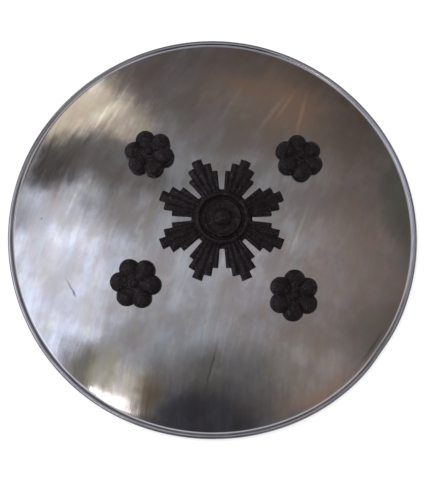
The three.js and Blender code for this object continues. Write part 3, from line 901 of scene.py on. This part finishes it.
def front_steel():
    material, tree = new_material("polished_steel_front")
    place, flow = streak_places(tree)
    fine = streaks(tree, flow, 0.0009, 0.02, 1.7)
    middle = streaks(tree, flow, 0.0045, 0.05, 5.1)
    broad = streaks(tree, flow, 0.018, 0.09, 9.3)
    cloud = streaks(tree, flow, 0.021, 0.034, 25.3, 5.0)
    blotch = tree.noise(place, 15.0, 5.0, 0.6)
    edge, radius, outward, edge_lines = rolled_edge(tree, place)

    # Clean streaks, worn ones and brown ones, with stains over them
    worn, brown = WORN_STEEL, BROWNED_STEEL
    tone = tree.mix(tree.ranged(middle, 0.35, 0.65, 0.0, 0.45), STEEL, worn)
    tone = tree.mix(tree.ranged(broad, 0.42, 0.7, 0.0, 0.45), tone, worn)
    tone = tree.mix(tree.ranged(blotch, 0.42, 0.62, 0.0, 0.55), tone, brown)
    tone = tree.mix(tree.ranged(cloud, 0.4, 0.62, 0.0, 0.6), tone, brown)
    tone = patinated(tree, place, tone)
    warmth = tree.ranged(streaks(tree, flow, 0.016, 0.03, 31.9, 4.0), 0.3, 0.7)
    pinkness = tree.ranged(streaks(tree, flow, 0.011, 0.018, 37.4, 3.0), 0.3, 0.7)
    tone = tree.mix(1.0, tone, tree.mix(warmth, COOL, WARM), "MULTIPLY")
    tone = tree.mix(1.0, tone, tree.mix(pinkness, GREENISH, PINKISH), "MULTIPLY")
    tone = scratched(tree, place, tone)

    # The rolled edge is duller and lined. Beside it lie a painted highlight line and a line of painted
    # shade in the corner
    # Painted highlight: a thin bright line just inside the rolled edge, painted into the colour
    rub_and_highlight = beside(tree, radius, FRONT_EDGE_RADIUS + 0.2, 0.0003, 0.0012, 0.9)
    tone = tree.mix(rub_and_highlight, tone, PAINTED_HIGHLIGHT_STEEL)
    lined = tree.mix(tree.ranged(edge_lines, 0.35, 0.65), EDGE_DARK, EDGE_LIGHT)
    tone = tree.mix(tree.times(edge, 0.8), tone, lined)
    # Painted shade: a dark line in the corner where the sheet turns up into the roll
    corner_shade = beside(tree, radius, ROLL_CENTRE_RADIUS - ROLL_RADIUS * 0.8, 0.0001, 0.0007, 0.45)
    tone = tree.mix(corner_shade, tone, PAINTED_CORNER_SHADE)

    rough = tree.plus(tree.ranged(middle, 0.3, 0.7, 0.09, 0.14),
                      tree.ranged(blotch, 0.4, 0.7, 0.0, 0.06))
    rough = tree.plus(rough, tree.times(edge, 0.07))
    leaned = leaning_face(tree, place, flow, edge, outward, edge_lines)
    tree.surface({"Base Color": tone, "Metallic": 1.0, "Roughness": rough,
                  "Normal": tree.bump(fine, 0.12, 0.0002, leaned)})
    return material


def inner_steel():
    material, tree = new_material("plain_steel_inside")
    place, flow = streak_places(tree)
    blotch = tree.noise(place, 22.0, 5.0, 0.6)
    middle = streaks(tree, flow, 0.006, 0.08, 3.0)
    hammer = tree.add("ShaderNodeTexVoronoi", {"Vector": place, "Scale": 55.0}).outputs["Distance"]
    tone = tree.mix(tree.ranged(blotch, 0.35, 0.7), (0.3, 0.29, 0.28), (0.16, 0.145, 0.13))
    tone = tree.mix(tree.ranged(middle, 0.45, 0.7, 0.0, 0.3), tone, (0.36, 0.35, 0.34))
    tree.surface({"Base Color": tone, "Metallic": 1.0,
                  "Roughness": tree.ranged(blotch, 0.3, 0.7, 0.38, 0.55),
                  "Normal": tree.bump(hammer, 0.25, 0.0006)})
    return material


def washer_steel():
    material, tree = new_material("plain_steel_washer")
    blotch = tree.noise(object_place(tree), 180.0, 4.0, 0.6)
    tone = tree.mix(tree.ranged(blotch, 0.4, 0.65), (0.38, 0.37, 0.36), (0.2, 0.17, 0.15))
    tree.surface({"Base Color": tone, "Metallic": 1.0,
                  "Roughness": tree.ranged(blotch, 0.3, 0.7, 0.3, 0.5),
                  "Normal": tree.bump(blotch, 0.2, 0.0002)})
    return material


def black_iron():
    """Rough cast iron, nearly black, with a dull sheen and paler specks that are partly rubbed wear and
    partly painted glints.
    """
    material, tree = new_material("blackened_cast_iron")
    place = object_place(tree)
    grain = tree.noise(place, 1300.0, 3.0, 0.6)
    lumps = tree.noise(place, 420.0, 3.0, 0.6)
    patches = tree.noise(place, 160.0, 4.0, 0.6)
    rub_and_highlight = tree.noise(place, 260.0, 3.0, 0.6)
    tone = tree.mix(tree.ranged(patches, 0.35, 0.68), (0.0038, 0.0026, 0.0033),
                    (0.0088, 0.006, 0.0062))
    # Paler specks: partly rubbed wear and partly painted glints
    specks_and_glints = tree.times(tree.ranged(tree.noise(place, 800.0, 2.0), 0.56, 0.7),
                        tree.ranged(rub_and_highlight, 0.42, 0.6))
    tone = tree.mix(specks_and_glints, tone, (0.05, 0.044, 0.046))
    tree.surface({"Base Color": tone, "Metallic": 0.0,
                  "Roughness": tree.ranged(rub_and_highlight, 0.35, 0.65, 0.62, 0.3),
                  "Specular IOR Level": 0.28, "Specular Tint": (1.0, 0.88, 0.92),
                  "Normal": tree.bump(lumps, 0.8, 0.0013, tree.bump(grain, 0.45, 0.00025))})
    return material


def strap_leather():
    """Plain brown leather with pores, fine wrinkles and darker patches."""
    material, tree = new_material("strap_leather")
    place = object_place(tree)
    pores = tree.add("ShaderNodeTexVoronoi", {"Vector": place, "Scale": 900.0},
                     feature="DISTANCE_TO_EDGE").outputs[0]
    wrinkles = tree.noise(place, 260.0, 5.0, 0.65)
    patches = tree.noise(place, 35.0, 4.0, 0.6)
    tone = tree.mix(tree.ranged(patches, 0.35, 0.7), (0.105, 0.05, 0.024),
                    (0.165, 0.086, 0.044))
    tone = tree.mix(tree.ranged(wrinkles, 0.55, 0.75, 0.0, 0.5), tone, (0.055, 0.026, 0.014))
    height = tree.multiply_add(tree.ranged(pores, 0.0, 0.12), 0.5, wrinkles)
    tree.surface({"Base Color": tone, "Roughness": tree.ranged(patches, 0.3, 0.7, 0.52, 0.7),
                  "Specular IOR Level": 0.4, "Normal": tree.bump(height, 0.45, 0.0003)})
    return material


# Studio
# Where a direction is mirrored in the shield's face, from -1 to 1 across it and up it. The numbers
# turn the half vector towards the camera into that place.
MIRROR_ACROSS = (1.652, -0.041)
MIRROR_UP = (1.704, -0.305)

# The room's light from left to right at the height of the shield's middle, how much of it is left
# towards the bottom and the top, and the light of the ground
ROOM_ACROSS = [
    (-1.5, (0.8, 0.82, 0.88)), (-1.15, (0.95, 0.97, 1.06)), (-0.95, (1.24, 1.34, 1.62)),
    (-0.7, (1.32, 1.42, 1.7)), (-0.55, (0.96, 1.01, 1.2)), (-0.38, (0.6, 0.62, 0.71)),
    (-0.1, (0.53, 0.55, 0.625)), (0.2, (0.485, 0.48, 0.53)), (0.5, (0.4, 0.375, 0.385)),
    (0.8, (0.28, 0.248, 0.248)), (1.05, (0.18, 0.162, 0.162)), (1.5, (0.12, 0.11, 0.11)),
]
ROOM_UP = [
    (-1.3, (0.3, 0.3, 0.31)), (-0.85, (0.4, 0.4, 0.41)), (-0.62, (0.64, 0.64, 0.64)),
    (-0.45, (0.77, 0.77, 0.76)), (-0.25, (1.0, 1.0, 1.0)), (0.0, (0.97, 0.97, 0.96)),
    (0.2, (0.69, 0.69, 0.67)), (0.4, (0.54, 0.52, 0.49)), (0.6, (0.41, 0.37, 0.34)),
    (0.8, (0.29, 0.255, 0.23)), (1.2, (0.21, 0.185, 0.17)),
]
GROUND_ACROSS = [
    (-1.5, (0.22, 0.215, 0.26)), (-0.8, (0.25, 0.245, 0.29)), (0.0, (0.34, 0.34, 0.35)),
    (0.8, (0.46, 0.46, 0.49)), (1.5, (0.52, 0.52, 0.55)),
]

# Cards and flags of the studio, in the order in which they lie over each other: middle (across, up),
# half sizes, turn in degrees, softness and light
CARDS = {
    "left_low": ((-0.8, -0.36), (0.22, 0.28), 20, 0.5, (1.12, 1.2, 1.45)),
    "top_right": ((0.26, 0.68), (0.28, 0.17), -12, 0.7, (0.245, 0.215, 0.195)),
    "low_right": ((0.42, -0.66), (0.24, 0.2), 20, 0.6, (0.36, 0.335, 0.325)),
    "warm_wall_far": ((-0.485, 0.6), (0.155, 0.11), -22, 0.45, (0.76, 0.69, 0.58)),
    "warm_wall": ((-0.68, 0.655), (0.225, 0.13), 32, 0.3, (1.14, 1.05, 0.88)),
    "doorway": ((-0.76, 0.385), (0.18, 0.13), 22, 0.3, (0.085, 0.072, 0.068)),
    "doorway_middle": ((-0.58, 0.42), (0.2, 0.09), -10, 0.35, (0.12, 0.108, 0.1)),
    "doorway_low": ((-0.42, 0.17), (0.19, 0.11), -12, 0.6, (0.39, 0.385, 0.41)),
    "doorway_side": ((-0.44, 0.36), (0.28, 0.1), -26, 0.5, (0.18, 0.17, 0.17)),
    "left_edge": ((-0.93, 0.13), (0.06, 0.12), 20, 0.6, (0.55, 0.56, 0.66)),
    "dark_right": ((0.93, 0.22), (0.12, 0.32), 6, 0.45, (0.145, 0.142, 0.132)),
    "dark_low": ((-0.02, -0.68), (0.28, 0.14), -4, 0.7, (0.16, 0.16, 0.165)),
    "dark_corner": ((-0.06, -0.91), (0.33, 0.2), 2, 0.5, (0.044, 0.044, 0.056)),
    "lamp_arch": ((-0.59, -0.645), (0.17, 0.11), -38, 0.35, (0.21, 0.2, 0.17)),
    "lamp_glow": ((-0.45, -0.7), (0.15, 0.12), -38, 0.4, (0.66, 0.62, 0.56)),
    "lamp_edge": ((-0.33, -0.8), (0.045, 0.13), -20, 0.45, (0.155, 0.135, 0.11)),
    "lamp": ((-0.49, -0.825), (0.135, 0.062), -33, 0.18, (3.4, 3.2, 3.4)),
}

# Light on rough surfaces, the backdrop that the camera sees, the floor, and the key light that
# draws the shadow: its place and size are in metres
SOFT_LIGHT = (0.776, 0.784, 0.8)
BACKDROP = (0.98, 0.98, 0.98)
FLOOR_SIZE = 12.0
KEY_PLACE = (-0.9, 0.7, 1.7)
KEY_SIZE = 1.4
KEY_ENERGY = 16


def studio_world():
    """A room of soft light for what the shield mirrors, even light for the rest, and a white backdrop."""
    world = bpy.data.worlds.new("studio")
    bpy.context.scene.world = world
    tree = Tree(world)
    way = tree.add("ShaderNodeTexCoord").outputs["Generated"]
    half = tree.vector("NORMALIZE", tree.vector("ADD", way, PICTURE_BACK))
    place = tree.combine(
        tree.multiply_add(tree.vector("DOT_PRODUCT", half, PICTURE_RIGHT), *MIRROR_ACROSS),
        tree.multiply_add(tree.vector("DOT_PRODUCT", half, PICTURE_UP), *MIRROR_UP))
    place = tree.vector("ADD", place, tree.wander(place, 0.16, 2.6, 3.0, 0.5))
    across, up, _ = tree.separate(place)
    light = tree.mix(1.0, tree.ramp(across, ROOM_ACROSS), tree.ramp(up, ROOM_UP), "MULTIPLY")
    for middle, sizes, turn, softness, colour in CARDS.values():
        light = tree.mix(tree.patch(place, middle, sizes, turn, softness), light, colour)
    height = tree.separate(way)[2]
    light = tree.mix(tree.ranged(height, -0.12, 0.12), tree.ramp(across, GROUND_ACROSS), light)

    def background(colour):
        return tree.add("ShaderNodeBackground", {"Color": colour, "Strength": 1.0}).outputs[0]

    path = tree.add("ShaderNodeLightPath").outputs
    lit = tree.add("ShaderNodeMixShader", {0: path["Is Glossy Ray"], 1: background(SOFT_LIGHT),
                                           2: background(light)})
    whole = tree.add("ShaderNodeMixShader", {0: path["Is Camera Ray"], 1: lit.outputs[0],
                                             2: background(BACKDROP)})
    tree.add("ShaderNodeOutputWorld", {"Surface": whole.outputs[0]})


def studio_floor():
    """A pale floor that runs out into the backdrop. The shield doesn't mirror it."""
    corners = [(x * FLOOR_SIZE / 2, y * FLOOR_SIZE / 2, 0) for x, y in ((-1, -1), (1, -1), (1, 1), (-1, 1))]
    mesh = bpy.data.meshes.new("studio_floor")
    mesh.from_pydata(corners, [], [[0, 1, 2, 3]])
    floor = linked("studio_floor", mesh)
    material, tree = new_material("pale_floor")
    tree.surface({"Base Color": (0.45, 0.45, 0.45), "Roughness": 0.9, "Specular IOR Level": 0.1,
                  "Emission Color": (1.0, 1.0, 1.0), "Emission Strength": 0.62})
    mesh.materials.append(material)
    floor.visible_glossy = False


def studio_key():
    """A large soft light from the upper left that draws the shield's shadow on the floor."""
    data = bpy.data.lights.new("soft_key", "AREA")
    data.size = KEY_SIZE
    data.energy = KEY_ENERGY
    key = linked("soft_key", data)
    key.location = KEY_PLACE
    key.rotation_euler = (-Vector(KEY_PLACE)).to_track_quat("-Z", "Y").to_euler()
    key.visible_glossy = False


def studio_camera():
    """The camera from which the picture was taken, turned and shifted as fitted to it."""
    data = bpy.data.cameras.new("camera")
    data.sensor_fit = "HORIZONTAL"
    data.sensor_width = SENSOR_WIDTH
    data.lens = FOCAL_LENGTH_PIXELS * SENSOR_WIDTH / PICTURE_WIDTH_PIXELS
    data.clip_start = 0.01
    camera = linked("camera", data)
    place = (PICTURE_BACK * CAMERA_DISTANCE + PICTURE_RIGHT * CAMERA_ACROSS + PICTURE_UP * CAMERA_UP
             + Vector((0, 0, CAMERA_TARGET_HEIGHT)))
    turned = Matrix((PICTURE_RIGHT, PICTURE_UP, PICTURE_BACK)).transposed()
    camera.matrix_world = Matrix.Translation(place) @ turned.to_4x4()
    bpy.context.scene.camera = camera


def dress(piece, node, material=None):
    """Puts a piece in a node's place, and with its material if it has none yet."""
    if material:
        piece.data.materials.append(material)
    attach(piece, "root")
    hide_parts(node)


def main():
    bpy.context.scene.view_settings.view_transform = "Standard"
    studio_camera()
    iron = black_iron()
    leather = strap_leather()
    grey = washer_steel()

    plate = make_plate(front_steel(), inner_steel())
    dress(plate, "shield_plate")
    dress(make_sunburst(), "sunburst", iron)
    for seed, (name, (distance, bearing, *_)) in enumerate(ROSETTES.items(), start=3):
        dress(make_rosette(name, seed), f"rosette_{name}", iron)
        washer = make_washer(f"washer_{name}", ROSETTE_SHANK_RADIUS, STRAP_WASHER_TOP,
                             dome_frame(distance, math.radians(bearing)))
        dress(washer, f"strap_washer_{name}", grey)
    washer = make_washer("washer_sunburst", SUNBURST_SHANK_RADIUS, SUNBURST_WASHER_TOP,
                         dome_frame(*SUNBURST_PLACE))
    dress(washer, "sunburst_washer", grey)
    for side in ("left", "right"):
        strap = make_strap(f"leather_strap_{side}", f"lower_{side}", f"upper_{side}")
        dress(strap, f"grip_strap_{side}", leather)

    studio_world()
    studio_floor()
    studio_key()


main()
